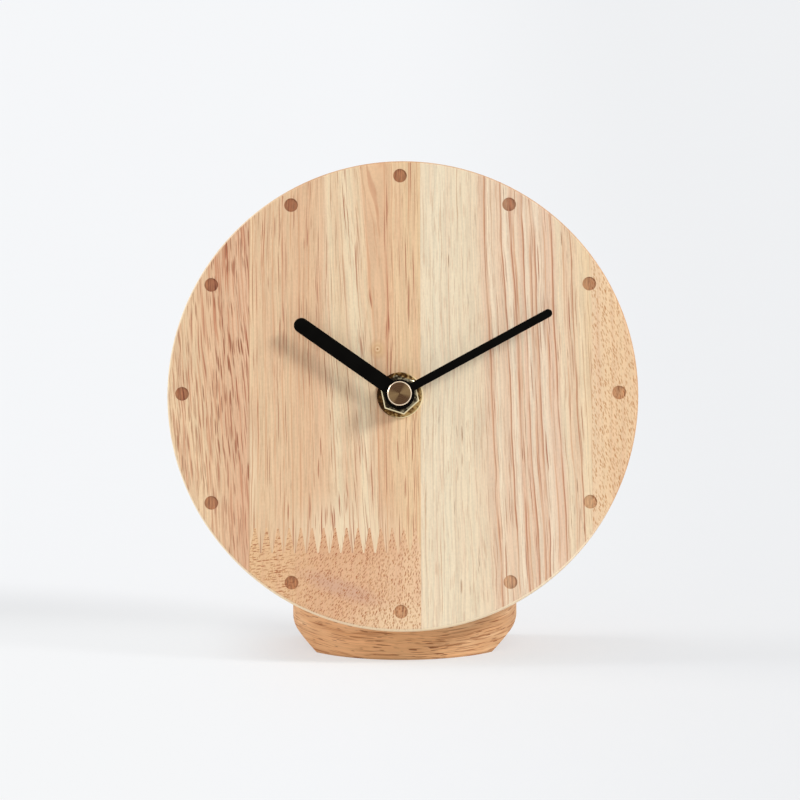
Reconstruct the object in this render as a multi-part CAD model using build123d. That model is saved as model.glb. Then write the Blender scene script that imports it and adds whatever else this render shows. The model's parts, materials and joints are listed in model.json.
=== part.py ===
from build123d import *
import math
import os

# Round wooden desk clock: a leaning dial board on a rounded foot, with a quartz movement behind it.
# Lengths are in millimetres and angles in degrees. The front of the clock faces -Y, and +Z is up.
# The origin is on the underside of the foot, at the centre of the circle that its front follows.

# Shared clearances
RUN_CLEARANCE = 0.05        # radial play of a shaft in its bearing
FIT_CLEARANCE = 0.03        # radial play of a glued or pressed joint
BODY_GAP = 0.3              # space between pieces that move past each other
OVERRUN = 1.0               # how far a cutting shape runs past the solid that it cuts

# Dial board
DIAL_DIAMETER = 150.0
DIAL_THICKNESS = 12.0
DIAL_CHAMFER = 0.5          # eased rim, cut in three narrow facets
DIAL_CHAMFER_BREAK = 0.18
DIAL_LEAN = 12.5            # the board leans back by this angle
DIAL_LIFT = 9.1             # height of the lowest point of the board's back face
DIAL_NOSE_GAP = 0.3         # that point lies this far in front of the foot's nose
STAVE_LEFT_WIDTH = 26.1     # what the round cut leaves of the two outer staves
STAVE_RIGHT_WIDTH = 14.7
FINGER_COUNT = 15
FINGER_LENGTH = 8.0
FINGER_RISE = 32.8          # tips of the finger joint, above the board's lowest point
FINGER_TIP_SHARE = 0.12     # flat tip of a finger, as a share of the pitch

# Burnt hour dots
DOT_COUNT = 12
DOT_RADIUS = 2.17
DOT_DEPTH = 0.25
DOT_INSET = 5.4             # from the rim to the middle of a dot
DOT_RING_X = -0.7           # the ring was set slightly off the middle of the board
DOT_RING_Y = 0.7

# Hub and pocket for the movement
HUB_X = -0.9                # the spindle hole lies slightly left of the middle of the board
POCKET_DEPTH = 7.0
POCKET_GAP = 1.0            # space between the pocket's wall and the movement
POCKET_CORNER = 5.0

# Foot
FOOT_RADIUS = 36.3
FOOT_BACK = 8.0             # the flat back lies this far behind the centre of the round front
FOOT_HEIGHT = 32.0
FOOT_SOLE_HALF = 28.2       # half width of the underside
FOOT_FLANK_ANGLE = 40.5     # slope of the lower flanks, from the floor
FOOT_SHOULDER_ROUND = 5.0
FOOT_SHOULDER_MARGIN = 0.05
FOOT_EDGE_ROUND = 1.2

# Dowels between foot and board
DOWEL_RADIUS = 3.0
DOWEL_SPACING = 20.0
DOWEL_IN_DIAL = 7.0
DOWEL_IN_FOOT = 14.0
DOWEL_END_ROUND = 0.6
DOWEL_RISE = 18.0           # above the board's lowest point
DOWEL_HOLE_SPARE = 0.5      # glue space at each end

# Movement housing, whose room follows the battery, the wheels and the coil
MOVEMENT_DEPTH = 16.0
MOVEMENT_CORNER = 4.0
TRAIN_ROOM = 10.3           # from the spindle down to the wall beside the battery
COIL_TOP_GAP = 2.4          # above the coil's core
CASE_DEPTH = 11.0           # the front shell; the cover makes up the rest
CASE_WALL = 1.2
CASE_STEP = 0.4             # the cover is this much smaller all round, which shows as a parting line
BAY_WALL = 1.0              # wall between wheels and battery
COVER_CHAMFER = 0.5
LATCH_WIDTH = 7.0
LATCH_THICKNESS = 1.0
LATCH_REACH = 3.2
LATCH_ROOT = 2.0
LATCH_GAP = 0.2
GASKET_THICKNESS = 1.0
GASKET_RADIUS = 11.0

# Battery, size AA
BATTERY_RADIUS = 7.25
BATTERY_LENGTH = 50.5
BATTERY_NUB_RADIUS = 2.75
BATTERY_NUB_LENGTH = 1.2
BATTERY_EDGE_ROUND = 0.5
CONTACT_THICKNESS = 0.3
CONTACT_WIDTH = 8.0
CONTACT_HEIGHT = 11.0
CONTACT_BUMP_RADIUS = 2.0
CONTACT_BUMP_REACH = 0.55

# Threaded bush, washer and nut that clamp the board
BUSH_RADIUS = 4.0
BUSH_BORE_RADIUS = 2.6
BUSH_FLANGE_RADIUS = 6.0
BUSH_FLANGE = 0.7
BUSH_PROUD = 1.0            # thread that shows in front of the nut
BUSH_CHAMFER = 0.3
WASHER_RADIUS = 7.3
WASHER_THICKNESS = 0.8
WASHER_CHAMFER = 0.2
NUT_SIDES = 6
NUT_ACROSS_FLATS = 11.2
NUT_THICKNESS = 2.4
NUT_TURN = -78.0            # direction of one corner, from the board's horizontal
NUT_CORNER_CHAMFER = 0.5

# Hands and the pipes that carry them
HAND_THICKNESS = 0.5
HAND_CHAMFER = 0.12
HAND_EYE_RADIUS = 4.75
HOUR_HAND_REACH = 40.6
HOUR_HAND_WIDTH = 4.8
HOUR_HAND_ANGLE = 144.8     # direction at rest, ten past ten
HOUR_HAND_STAND = 0.5       # gap from the bush to the hand
HOUR_TIP_RADIUS = 2.2
HOUR_TIP_SPARE = 0.15       # pipe that shows through the hand
MINUTE_HAND_REACH = 55.0
MINUTE_HAND_WIDTH = 2.65
MINUTE_EYE_RADIUS = 4.4
MINUTE_HAND_ANGLE = 28.4
MINUTE_HAND_STAND = 1.0     # gap from the hour hand to the minute hand
MINUTE_PIPE_RADIUS = 1.75
MINUTE_TIP_RADIUS = 1.4
MINUTE_TIP_LENGTH = 1.4
MINUTE_TAIL_RADIUS = 1.2    # the stretch that carries the centre wheel
MINUTE_TAIL_SPARE = 0.1
SECONDS_ARBOR_RADIUS = 0.45
SECONDS_ARBOR_SHORT = 0.4   # the arbor ends this far inside the minute pipe
CAP_RADIUS = 3.85
CAP_HEIGHT = 2.3
CAP_CHAMFER = 0.35
CAP_ROOF = 0.6

# Wheels, in layers from the front shell backwards
LAYERS = ("hour", "motion", "centre", "third", "seconds", "fast")
WHEEL_THICKNESS = 0.9
LAYER_GAP = 0.4
ADDENDUM_SHARE = 0.75       # tooth height above the pitch circle, in modules
DEDENDUM_SHARE = 1.15       # tooth depth below it, in modules
ROOT_SHARE = 0.40           # tooth width at root, pitch circle and tip, as shares of the pitch
PITCH_SHARE = 0.34
TIP_SHARE = 0.14
CANNON_TEETH = 12
MOTION_TEETH = 36
MOTION_PINION_TEETH = 10
HOUR_TEETH = 40
KNOB_TEETH = 18
CENTRE_TEETH = 64
THIRD_PINION_TEETH = 8
THIRD_TEETH = 60
SECONDS_PINION_TEETH = 8
SECONDS_TEETH = 50
FAST_PINION_TEETH = 10
FAST_TEETH = 48
ROTOR_TEETH = 8
MOTION_DISTANCE = 7.2       # spindle to motion wheel
KNOB_DISTANCE = 8.1         # motion wheel to setting pinion
THIRD_DISTANCE = 9.0        # spindle to third wheel
FAST_DISTANCE = 9.0         # spindle to fast wheel
ROTOR_DISTANCE = 7.0        # fast wheel to rotor
MOTION_ANGLE = 60.0
KNOB_ANGLE = 60.0
THIRD_ANGLE = 180.0
FAST_ANGLE = 120.0
ROTOR_ANGLE = 150.0
ARBOR_RADIUS = 0.4
STUD_RADIUS = 0.75
SOCKET_DEPTH = 0.8          # bearing holes in the front shell
BEARING_RADIUS = 1.3        # bearing bosses on the cover
BEARING_LENGTH = 1.5
BEARING_DEPTH = 1.1
ARBOR_END_PLAY = 0.1

# Setting knob
KNOB_RADIUS = 6.0
KNOB_HEIGHT = 3.8
KNOB_GROOVES = 30
KNOB_GROOVE_RADIUS = 0.35
KNOB_CHAMFER = 0.5
KNOB_SHAFT_RADIUS = 1.0
KNOB_PIVOT_RADIUS = 0.6
KNOB_DISH_RADIUS = 3.6
KNOB_DISH_DEPTH = 0.8
RECESS_GAP = 1.0            # around the knob
RECESS_DEPTH = 2.4

# Stepping motor
MAGNET_RADIUS = 2.5
MAGNET_THICKNESS = 2.0
MAGNET_STAND = 0.6          # behind the rotor's pinion
STATOR_THICKNESS = 1.0
STATOR_HOLE_GAP = 0.5
STATOR_RING_WIDTH = 1.6
STATOR_BAR_WIDTH = 4.0
STATOR_LEFT = 10.4          # from the rotor to the outer edge of each leg
STATOR_RIGHT = 15.6
STATOR_LEG_WIDTH = 4.0
STATOR_RISE = 12.7          # from the rotor to the ends of the legs
COIL_RADIUS = 3.2
BOBBIN_FLANGE_RADIUS = 3.7
BOBBIN_FLANGE = 0.8
BOBBIN_WALL = 0.5
BOBBIN_END_GAP = 0.4
CORE_POST_RADIUS = 1.5

# Circuit board, between the setting knob's shaft and the right wall
BOARD_SHAFT_GAP = 2.85
BOARD_SIDE_GAP = 0.9
BOARD_BOTTOM_GAP = 1.3
BOARD_TOP_GAP = 2.4
BOARD_THICKNESS = 1.0
BOARD_DEPTH = 5.0           # behind the front shell's floor
BOARD_POST_RADIUS = 1.4
BOARD_POST_INSET = 2.4
CRYSTAL_RADIUS = 1.0
CRYSTAL_LENGTH = 6.0
CRYSTAL_END_ROUND = 0.3
CRYSTAL_SINK = 0.13         # how deep the can lies in its glue
CRYSTAL_X_SHARE = 0.72
CRYSTAL_Y_SHARE = 0.75
CHIP_RADIUS = 3.4
CHIP_HEIGHT = 1.2
CHIP_EDGE_ROUND = 0.9
CHIP_X_SHARE = 0.5
CHIP_Y_SHARE = 0.35


# Places worked out from the sizes
dial_radius = DIAL_DIAMETER / 2
dot_ring_radius = dial_radius - DOT_INSET
finger_top = FINGER_RISE - dial_radius
left_line = STAVE_LEFT_WIDTH - dial_radius
right_line = dial_radius - STAVE_RIGHT_WIDTH
middle_line = (left_line + right_line) / 2
lean_sin = math.sin(math.radians(DIAL_LEAN))
lean_cos = math.cos(math.radians(DIAL_LEAN))
back_y = -FOOT_RADIUS - DIAL_NOSE_GAP + dial_radius * lean_sin
back_z = DIAL_LIFT + dial_radius * lean_cos
front_y = back_y - DIAL_THICKNESS * lean_cos
front_z = back_z + DIAL_THICKNESS * lean_sin
dial_plane = Plane(origin=(0, front_y, front_z), x_dir=(1, 0, 0), z_dir=(0, -lean_cos, lean_sin))

web_thickness = DIAL_THICKNESS - POCKET_DEPTH
case_front = -web_thickness - GASKET_THICKNESS
chamber_front = case_front - CASE_WALL
case_back = case_front - CASE_DEPTH
cover_back = case_front - MOVEMENT_DEPTH
chamber_back = cover_back + CASE_WALL
chamber_half = BATTERY_LENGTH / 2 + BODY_GAP + CONTACT_BUMP_REACH + CONTACT_THICKNESS
train_floor = -TRAIN_ROOM
bay_high = train_floor - BAY_WALL
bay_low = bay_high - 2 * BATTERY_RADIUS - 2 * BODY_GAP
battery_y = (bay_low + bay_high) / 2
battery_z = cover_back + BATTERY_RADIUS + BODY_GAP

nut_back = WASHER_THICKNESS
nut_front = nut_back + NUT_THICKNESS
bush_front = nut_front + BUSH_PROUD
hour_hand_back = bush_front + HOUR_HAND_STAND
hour_hand_front = hour_hand_back + HAND_THICKNESS
minute_hand_back = hour_hand_front + MINUTE_HAND_STAND
minute_hand_front = minute_hand_back + HAND_THICKNESS
minute_tip_front = minute_hand_front + MINUTE_TIP_LENGTH
cap_front = minute_hand_front + CAP_HEIGHT


def on_dial(shape):
    """Move a shape from the board's own frame, with its front face at zero, to its place."""
    return shape.moved(dial_plane.location)


def on_hub(shape):
    """The same for a shape drawn round the spindle."""
    return shape.moved(Pos(HUB_X, 0, 0)).moved(dial_plane.location)


def rod(radius, back, front, x=0.0, y=0.0):
    """A round bar along the spindle's direction, between two depths."""
    return Pos(x, y, (back + front) / 2) * Cylinder(radius, front - back)


def tube(outer, inner, back, front, x=0.0, y=0.0):
    return rod(outer, back, front, x, y) - rod(inner, back - OVERRUN, front + OVERRUN, x, y)


def block(left, right, low, high, back, front):
    middle = Pos((left + right) / 2, (low + high) / 2, (back + front) / 2)
    return middle * Box(right - left, high - low, front - back)


def housing_block(spare, corner, back, front):
    """A block with the housing's outline, larger than it by a spare width all round."""
    wall = CASE_WALL + CASE_STEP + spare
    height = chamber_top - bay_low + 2 * wall
    outline = RectangleRounded(2 * (chamber_half + wall), height, corner)
    return Pos(0, (chamber_top + bay_low) / 2, back) * extrude(outline, front - back)


def polar(distance, direction):
    angle = math.radians(direction)
    return distance * math.cos(angle), distance * math.sin(angle)


def layer_front(name):
    """Front face of one layer of wheels, counted backwards from the bush's flange."""
    steps = LAYERS.index(name)
    return chamber_front - BUSH_FLANGE - BODY_GAP - steps * (WHEEL_THICKNESS + LAYER_GAP)


def layer_back(name):
    return layer_front(name) - WHEEL_THICKNESS


# Toothed wheels
def module_of(distance, teeth_a, teeth_b):
    return 2 * distance / (teeth_a + teeth_b)


def mate_phase(phase, teeth, direction, mate_teeth):
    """Angle of a tooth of the mating wheel that sets its gaps on this wheel's teeth."""
    return direction + 180 + (direction - phase) * teeth / mate_teeth + 180 / mate_teeth


def toothed(teeth, module, phase, layer, layer_ahead=None):
    """A spur wheel whose first tooth points along phase, in one layer or up to the back of a wheel ahead."""
    pitch_radius = module * teeth / 2
    rings = [
        (pitch_radius - DEDENDUM_SHARE * module, -ROOT_SHARE),
        (pitch_radius, -PITCH_SHARE),
        (pitch_radius + ADDENDUM_SHARE * module, -TIP_SHARE),
        (pitch_radius + ADDENDUM_SHARE * module, TIP_SHARE),
        (pitch_radius, PITCH_SHARE),
        (pitch_radius - DEDENDUM_SHARE * module, ROOT_SHARE),
    ]
    points = []
    for tooth in range(teeth):
        for radius, share in rings:
            points.append(polar(radius, phase + (tooth + share / 2) * 360 / teeth))
    outline = make_face(Polyline(*points, close=True))
    back = layer_back(layer)
    front = layer_front(layer)
    if layer_ahead is not None:
        back = layer_front(layer)
        front = layer_front(layer_ahead)
    return Pos(0, 0, back) * extrude(outline, front - back)


motion_module = module_of(MOTION_DISTANCE, CANNON_TEETH, MOTION_TEETH)
hour_module = module_of(MOTION_DISTANCE, MOTION_PINION_TEETH, HOUR_TEETH)
centre_module = module_of(THIRD_DISTANCE, CENTRE_TEETH, THIRD_PINION_TEETH)
third_module = module_of(THIRD_DISTANCE, THIRD_TEETH, SECONDS_PINION_TEETH)
seconds_module = module_of(FAST_DISTANCE, SECONDS_TEETH, FAST_PINION_TEETH)
fast_module = module_of(ROTOR_DISTANCE, FAST_TEETH, ROTOR_TEETH)
knob_module = motion_module

motion_x, motion_y = polar(MOTION_DISTANCE, MOTION_ANGLE)
knob_step_x, knob_step_y = polar(KNOB_DISTANCE, KNOB_ANGLE)
knob_x = motion_x + knob_step_x
knob_y = motion_y + knob_step_y
third_x, third_y = polar(THIRD_DISTANCE, THIRD_ANGLE)
fast_x, fast_y = polar(FAST_DISTANCE, FAST_ANGLE)
rotor_step_x, rotor_step_y = polar(ROTOR_DISTANCE, ROTOR_ANGLE)
rotor_x = fast_x + rotor_step_x
rotor_y = fast_y + rotor_step_y

core_top = rotor_y + STATOR_RISE
chamber_top = core_top + COIL_TOP_GAP
board_left = knob_x + KNOB_SHAFT_RADIUS + BOARD_SHAFT_GAP
board_width = chamber_half - BOARD_SIDE_GAP - board_left
board_bottom = train_floor + BOARD_BOTTOM_GAP
board_height = chamber_top - BOARD_TOP_GAP - board_bottom

cannon_phase = MOTION_ANGLE
motion_phase = mate_phase(cannon_phase, CANNON_TEETH, MOTION_ANGLE, MOTION_TEETH)
hour_phase = MOTION_ANGLE
motion_pinion_phase = mate_phase(hour_phase, HOUR_TEETH, MOTION_ANGLE, MOTION_PINION_TEETH)
knob_phase = mate_phase(motion_phase, MOTION_TEETH, KNOB_ANGLE, KNOB_TEETH)
centre_phase = THIRD_ANGLE
third_pinion_phase = mate_phase(centre_phase, CENTRE_TEETH, THIRD_ANGLE, THIRD_PINION_TEETH)
seconds_pinion_phase = THIRD_ANGLE
third_phase = mate_phase(seconds_pinion_phase, SECONDS_PINION_TEETH, THIRD_ANGLE, THIRD_TEETH)
seconds_phase = FAST_ANGLE
fast_pinion_phase = mate_phase(seconds_phase, SECONDS_TEETH, FAST_ANGLE, FAST_PINION_TEETH)
fast_phase = ROTOR_ANGLE
rotor_phase = mate_phase(fast_phase, FAST_TEETH, ROTOR_ANGLE, ROTOR_TEETH)


# Dial board
def dowel_places():
    return [(side * DOWEL_SPACING / 2, DOWEL_RISE - dial_radius) for side in (-1, 1)]


def dial_board():
    """The whole board with its pocket, spindle hole, dowel holes and burnt dots."""
    board = rod(dial_radius, -DIAL_THICKNESS, 0)
    for size in (DIAL_CHAMFER, DIAL_CHAMFER_BREAK):
        board = chamfer(board.edges().filter_by(GeomType.CIRCLE), size)
    pocket = housing_block(POCKET_GAP, POCKET_CORNER, -DIAL_THICKNESS - OVERRUN, -web_thickness)
    board -= Pos(HUB_X, 0, 0) * pocket
    board -= rod(BUSH_RADIUS + RUN_CLEARANCE, -DIAL_THICKNESS, OVERRUN, HUB_X)
    for x, y in dowel_places():
        depth = DOWEL_IN_DIAL + DOWEL_HOLE_SPARE
        board -= rod(DOWEL_RADIUS + FIT_CLEARANCE, -DIAL_THICKNESS - OVERRUN, -DIAL_THICKNESS + depth, x, y)
    for number in range(DOT_COUNT):
        x, y = polar(dot_ring_radius, number * 360 / DOT_COUNT)
        board -= rod(DOT_RADIUS, -DOT_DEPTH, OVERRUN, DOT_RING_X + x, DOT_RING_Y + y)
    return board


def stave_cut(left, right):
    """The slab of the board between two glue lines."""
    reach = dial_radius + OVERRUN
    return block(left, right, -reach, reach, -DIAL_THICKNESS - OVERRUN, OVERRUN)


def finger_block(left, right):
    """The slab below the finger joint, with its fingers pointing up."""
    pitch = (right - left) / FINGER_COUNT
    half_tip = FINGER_TIP_SHARE * pitch / 2
    low = finger_top - FINGER_LENGTH
    floor = -dial_radius - OVERRUN
    points = [(left, floor), (left, low)]
    for number in range(FINGER_COUNT):
        start = left + number * pitch
        middle = start + pitch / 2
        if number > 0:
            points.append((start + half_tip, low))
        points += [(middle - half_tip, finger_top), (middle + half_tip, finger_top)]
        if number < FINGER_COUNT - 1:
            points.append((start + pitch - half_tip, low))
    points += [(right, low), (right, floor)]
    outline = make_face(Polyline(*points, close=True))
    return Pos(0, 0, -DIAL_THICKNESS - OVERRUN) * extrude(outline, DIAL_THICKNESS + 2 * OVERRUN)


def dial_staves():
    board = dial_board()
    outer = dial_radius + OVERRUN
    middle = board & stave_cut(left_line, middle_line)
    lower = finger_block(left_line, middle_line)
    return {
        "dial_stave_left": board & stave_cut(-outer, left_line),
        "dial_stave_middle_upper": middle - lower,
        "dial_stave_middle_lower": middle & lower,
        "dial_stave_center_right": board & stave_cut(middle_line, right_line),
        "dial_stave_right": board & stave_cut(right_line, outer),
    }


# Foot and dowels
def flank_cut():
    """What is taken off the foot's lower right: a sloping flank with a rounded shoulder."""
    edge = FOOT_RADIUS + FOOT_SHOULDER_MARGIN
    rise = math.tan(math.radians(FOOT_FLANK_ANGLE))
    crossing = (edge - FOOT_SOLE_HALF) * rise
    arm = FOOT_SHOULDER_ROUND * math.tan(math.radians(90 - FOOT_FLANK_ANGLE) / 2)
    arm_x = arm * math.cos(math.radians(FOOT_FLANK_ANGLE))
    arm_z = arm * math.sin(math.radians(FOOT_FLANK_ANGLE))
    shoulder = (edge, crossing + arm)
    flank = (edge - arm_x, crossing - arm_z)
    below = (FOOT_SOLE_HALF - OVERRUN / rise, -OVERRUN)
    arc_centre = (edge - FOOT_SHOULDER_ROUND, crossing + arm)
    half_turn = math.radians(90 - FOOT_FLANK_ANGLE) / 2
    arc_middle = (
        arc_centre[0] + FOOT_SHOULDER_ROUND * math.cos(half_turn),
        arc_centre[1] - FOOT_SHOULDER_ROUND * math.sin(half_turn),
    )
    outline = make_face(Curve() + [
        ThreePointArc(shoulder, arc_middle, flank),
        Line(flank, below),
        Line(below, (edge + OVERRUN, -OVERRUN)),
        Line((edge + OVERRUN, -OVERRUN), (edge + OVERRUN, shoulder[1])),
        Line((edge + OVERRUN, shoulder[1]), shoulder),
    ])
    reach = FOOT_RADIUS + FOOT_BACK + OVERRUN
    return extrude(Plane.XZ * outline, reach, both=True)


def foot():
    behind = Pos(0, FOOT_BACK + FOOT_RADIUS) * Rectangle(2 * (FOOT_RADIUS + OVERRUN), 2 * FOOT_RADIUS)
    plan = Circle(FOOT_RADIUS) - behind
    body = extrude(plan, FOOT_HEIGHT)
    upright = body.edges().filter_by(Axis.Z)
    body = fillet(upright, FOOT_EDGE_ROUND)
    body = fillet(body.edges().group_by(Axis.Z)[-1], FOOT_EDGE_ROUND)
    cut = flank_cut()
    body = body - cut - cut.mirror(Plane.YZ)
    seat = block(-dial_radius, dial_radius, -2 * dial_radius, dial_radius, -DIAL_THICKNESS, dial_radius)
    body -= on_dial(seat)
    for x, y in dowel_places():
        depth = DOWEL_IN_FOOT + DOWEL_HOLE_SPARE
        hole = rod(DOWEL_RADIUS + FIT_CLEARANCE, -DIAL_THICKNESS - depth, -DIAL_THICKNESS + OVERRUN, x, y)
        body -= on_dial(hole)
    return body


def foot_dowels():
    pins = []
    for x, y in dowel_places():
        pin = rod(DOWEL_RADIUS, -DIAL_THICKNESS - DOWEL_IN_FOOT, -DIAL_THICKNESS + DOWEL_IN_DIAL, x, y)
        pin = chamfer(pin.edges().filter_by(GeomType.CIRCLE), DOWEL_END_ROUND)
        pins.append(on_dial(pin))
    return Compound(children=pins)


# Movement housing
def movement_case():
    """The front shell: outer walls, wall beside the battery, bearing holes, studs and posts."""
    shell = housing_block(0, MOVEMENT_CORNER, case_back, case_front)
    inner_back = case_back - OVERRUN
    shell -= block(-chamber_half, chamber_half, train_floor, chamber_top, inner_back, chamber_front)
    floor = battery_z + BATTERY_RADIUS + BODY_GAP
    shell -= block(-chamber_half, chamber_half, bay_low, bay_high, inner_back, floor)
    shell -= rod(BUSH_RADIUS + FIT_CLEARANCE, chamber_front - OVERRUN, case_front + OVERRUN)
    socket_front = chamber_front + SOCKET_DEPTH
    for x, y in ((third_x, third_y), (fast_x, fast_y), (rotor_x, rotor_y)):
        shell -= rod(ARBOR_RADIUS + RUN_CLEARANCE, chamber_front - OVERRUN, socket_front, x, y)
    shell -= rod(KNOB_PIVOT_RADIUS + RUN_CLEARANCE, chamber_front - OVERRUN, socket_front, knob_x, knob_y)
    shell += rod(STUD_RADIUS, layer_back("motion"), chamber_front, motion_x, motion_y)
    for x, y in core_post_places():
        shell += rod(CORE_POST_RADIUS, core_front, chamber_front, x, y)
    for x, y in board_post_places():
        shell += rod(BOARD_POST_RADIUS, board_front, chamber_front, x, y)
    for side in (-1, 1):
        shell -= latch(side, LATCH_GAP, OVERRUN)
    return shell


def latch(side, gap, proud):
    """A snap tongue on one side of the cover, or with a gap the notch in the shell that it sits in."""
    wall = chamber_half + CASE_WALL + CASE_STEP
    inner = side * (wall - LATCH_THICKNESS)
    outer = side * (wall + proud)
    middle = (train_floor + chamber_top) / 2
    half = LATCH_WIDTH / 2 + gap
    return block(min(inner, outer), max(inner, outer), middle - half, middle + half,
                 case_back - LATCH_ROOT, case_back + LATCH_REACH + gap)


def movement_cover():
    """The rear shell, with the battery's opening and the recess for the setting knob."""
    half = chamber_half
    shell = housing_block(-CASE_STEP, MOVEMENT_CORNER - CASE_STEP, cover_back, case_back)
    shell = chamfer(shell.faces().sort_by(Axis.Z)[0].edges(), COVER_CHAMFER)
    shell -= block(-half, half, train_floor, chamber_top, chamber_back, case_back + OVERRUN)
    shell -= block(-half, half, bay_low, bay_high, cover_back - OVERRUN, case_back + OVERRUN)
    recess_floor = cover_back + RECESS_DEPTH
    shell += rod(KNOB_RADIUS + RECESS_GAP + CASE_WALL, chamber_back, recess_floor + CASE_WALL, knob_x, knob_y)
    shell -= rod(KNOB_RADIUS + RECESS_GAP, cover_back - OVERRUN, recess_floor, knob_x, knob_y)
    shell -= rod(KNOB_SHAFT_RADIUS + RUN_CLEARANCE, recess_floor - OVERRUN, case_back, knob_x, knob_y)
    boss_front = chamber_back + BEARING_LENGTH
    places = ((0.0, 0.0, SECONDS_ARBOR_RADIUS), (third_x, third_y, ARBOR_RADIUS),
              (fast_x, fast_y, ARBOR_RADIUS), (rotor_x, rotor_y, ARBOR_RADIUS))
    for x, y, radius in places:
        shell += rod(BEARING_RADIUS, chamber_back, boss_front, x, y)
        shell -= rod(radius + RUN_CLEARANCE, boss_front - BEARING_DEPTH, boss_front + OVERRUN, x, y)
    for hand in (-1, 1):
        shell += latch(hand, 0, 0)
    return shell


arbor_front = chamber_front + SOCKET_DEPTH - ARBOR_END_PLAY
arbor_back = chamber_back + BEARING_LENGTH - BEARING_DEPTH + ARBOR_END_PLAY


def dial_gasket():
    return tube(GASKET_RADIUS, BUSH_RADIUS + RUN_CLEARANCE, case_front, -web_thickness)


def threaded_bush():
    bush = rod(BUSH_RADIUS, chamber_front, bush_front)
    bush = chamfer(bush.edges().group_by(Axis.Z)[-1], BUSH_CHAMFER)
    bush += rod(BUSH_FLANGE_RADIUS, chamber_front - BUSH_FLANGE, chamber_front)
    return bush - rod(BUSH_BORE_RADIUS, chamber_front - BUSH_FLANGE - OVERRUN, bush_front + OVERRUN)


def bush_washer():
    ring = rod(WASHER_RADIUS, 0, WASHER_THICKNESS)
    ring = chamfer(ring.edges().group_by(Axis.Z)[-1], WASHER_CHAMFER)
    return ring - rod(BUSH_RADIUS + RUN_CLEARANCE, -OVERRUN, WASHER_THICKNESS + OVERRUN)


def hex_nut():
    outline = RegularPolygon(NUT_ACROSS_FLATS / 2, NUT_SIDES, major_radius=False, rotation=NUT_TURN)
    nut = Pos(0, 0, nut_back) * extrude(outline, NUT_THICKNESS)
    corner_radius = NUT_ACROSS_FLATS / 2 / math.cos(math.pi / NUT_SIDES)
    turned = rod(corner_radius, nut_back, nut_front)
    turned = chamfer(turned.edges().group_by(Axis.Z)[-1], NUT_CORNER_CHAMFER / 2, NUT_CORNER_CHAMFER)
    return (nut & turned) - rod(BUSH_RADIUS + FIT_CLEARANCE, -OVERRUN, nut_front + OVERRUN)


# Hands
def hand(reach, width, eye_radius, hole_radius, direction, back):
    """A straight bar with a round tip, joined to a round eye."""
    length = reach - width / 2
    bar = Pos(length / 2, 0) * Rectangle(length, width) + Pos(length, 0) * Circle(width / 2)
    plate = extrude(bar + Circle(eye_radius), HAND_THICKNESS)
    plate = chamfer(plate.edges().group_by(Axis.Z)[-1], HAND_CHAMFER)
    plate -= rod(hole_radius, -OVERRUN, HAND_THICKNESS + OVERRUN)
    return Pos(0, 0, back) * Rot(0, 0, direction) * plate


def hour_hand():
    hole = HOUR_TIP_RADIUS + FIT_CLEARANCE
    return hand(HOUR_HAND_REACH, HOUR_HAND_WIDTH, HAND_EYE_RADIUS, hole, HOUR_HAND_ANGLE, hour_hand_back)


def minute_hand():
    hole = MINUTE_TIP_RADIUS + FIT_CLEARANCE
    return hand(MINUTE_HAND_REACH, MINUTE_HAND_WIDTH, MINUTE_EYE_RADIUS, hole,
                MINUTE_HAND_ANGLE, minute_hand_back)


def cap_nut():
    cap = rod(CAP_RADIUS, minute_hand_front, cap_front)
    cap = chamfer(cap.edges().group_by(Axis.Z)[-1], CAP_CHAMFER)
    return cap - rod(MINUTE_TIP_RADIUS + FIT_CLEARANCE, minute_hand_front - OVERRUN, cap_front - CAP_ROOF)


# Wheels under the dial
def hour_wheel():
    wheel = toothed(HOUR_TEETH, hour_module, hour_phase, "hour")
    wheel += rod(BUSH_BORE_RADIUS - RUN_CLEARANCE, layer_front("hour"), hour_hand_back)
    wheel += rod(HOUR_TIP_RADIUS, hour_hand_back, hour_hand_front + HOUR_TIP_SPARE)
    return wheel - rod(MINUTE_PIPE_RADIUS + RUN_CLEARANCE, layer_back("hour") - OVERRUN, minute_hand_back)


def minute_pipe():
    """The pipe that carries the minute hand, with the cannon pinion near its end."""
    pipe = rod(MINUTE_PIPE_RADIUS, layer_front("motion"), minute_hand_back)
    pipe += rod(MINUTE_TIP_RADIUS, minute_hand_back, minute_tip_front)
    pipe += toothed(CANNON_TEETH, motion_module, cannon_phase, "motion")
    pipe += rod(MINUTE_TAIL_RADIUS, layer_back("centre") - MINUTE_TAIL_SPARE, layer_back("motion"))
    bore = SECONDS_ARBOR_RADIUS + RUN_CLEARANCE
    return pipe - rod(bore, layer_back("third"), minute_tip_front + OVERRUN)


def motion_wheel():
    wheel = toothed(MOTION_TEETH, motion_module, motion_phase, "motion")
    wheel += toothed(MOTION_PINION_TEETH, hour_module, motion_pinion_phase, "motion", "hour")
    bore = STUD_RADIUS + RUN_CLEARANCE
    wheel -= rod(bore, layer_back("motion") - OVERRUN, layer_front("hour") + OVERRUN)
    return wheel.moved(Pos(motion_x, motion_y, 0))


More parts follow.
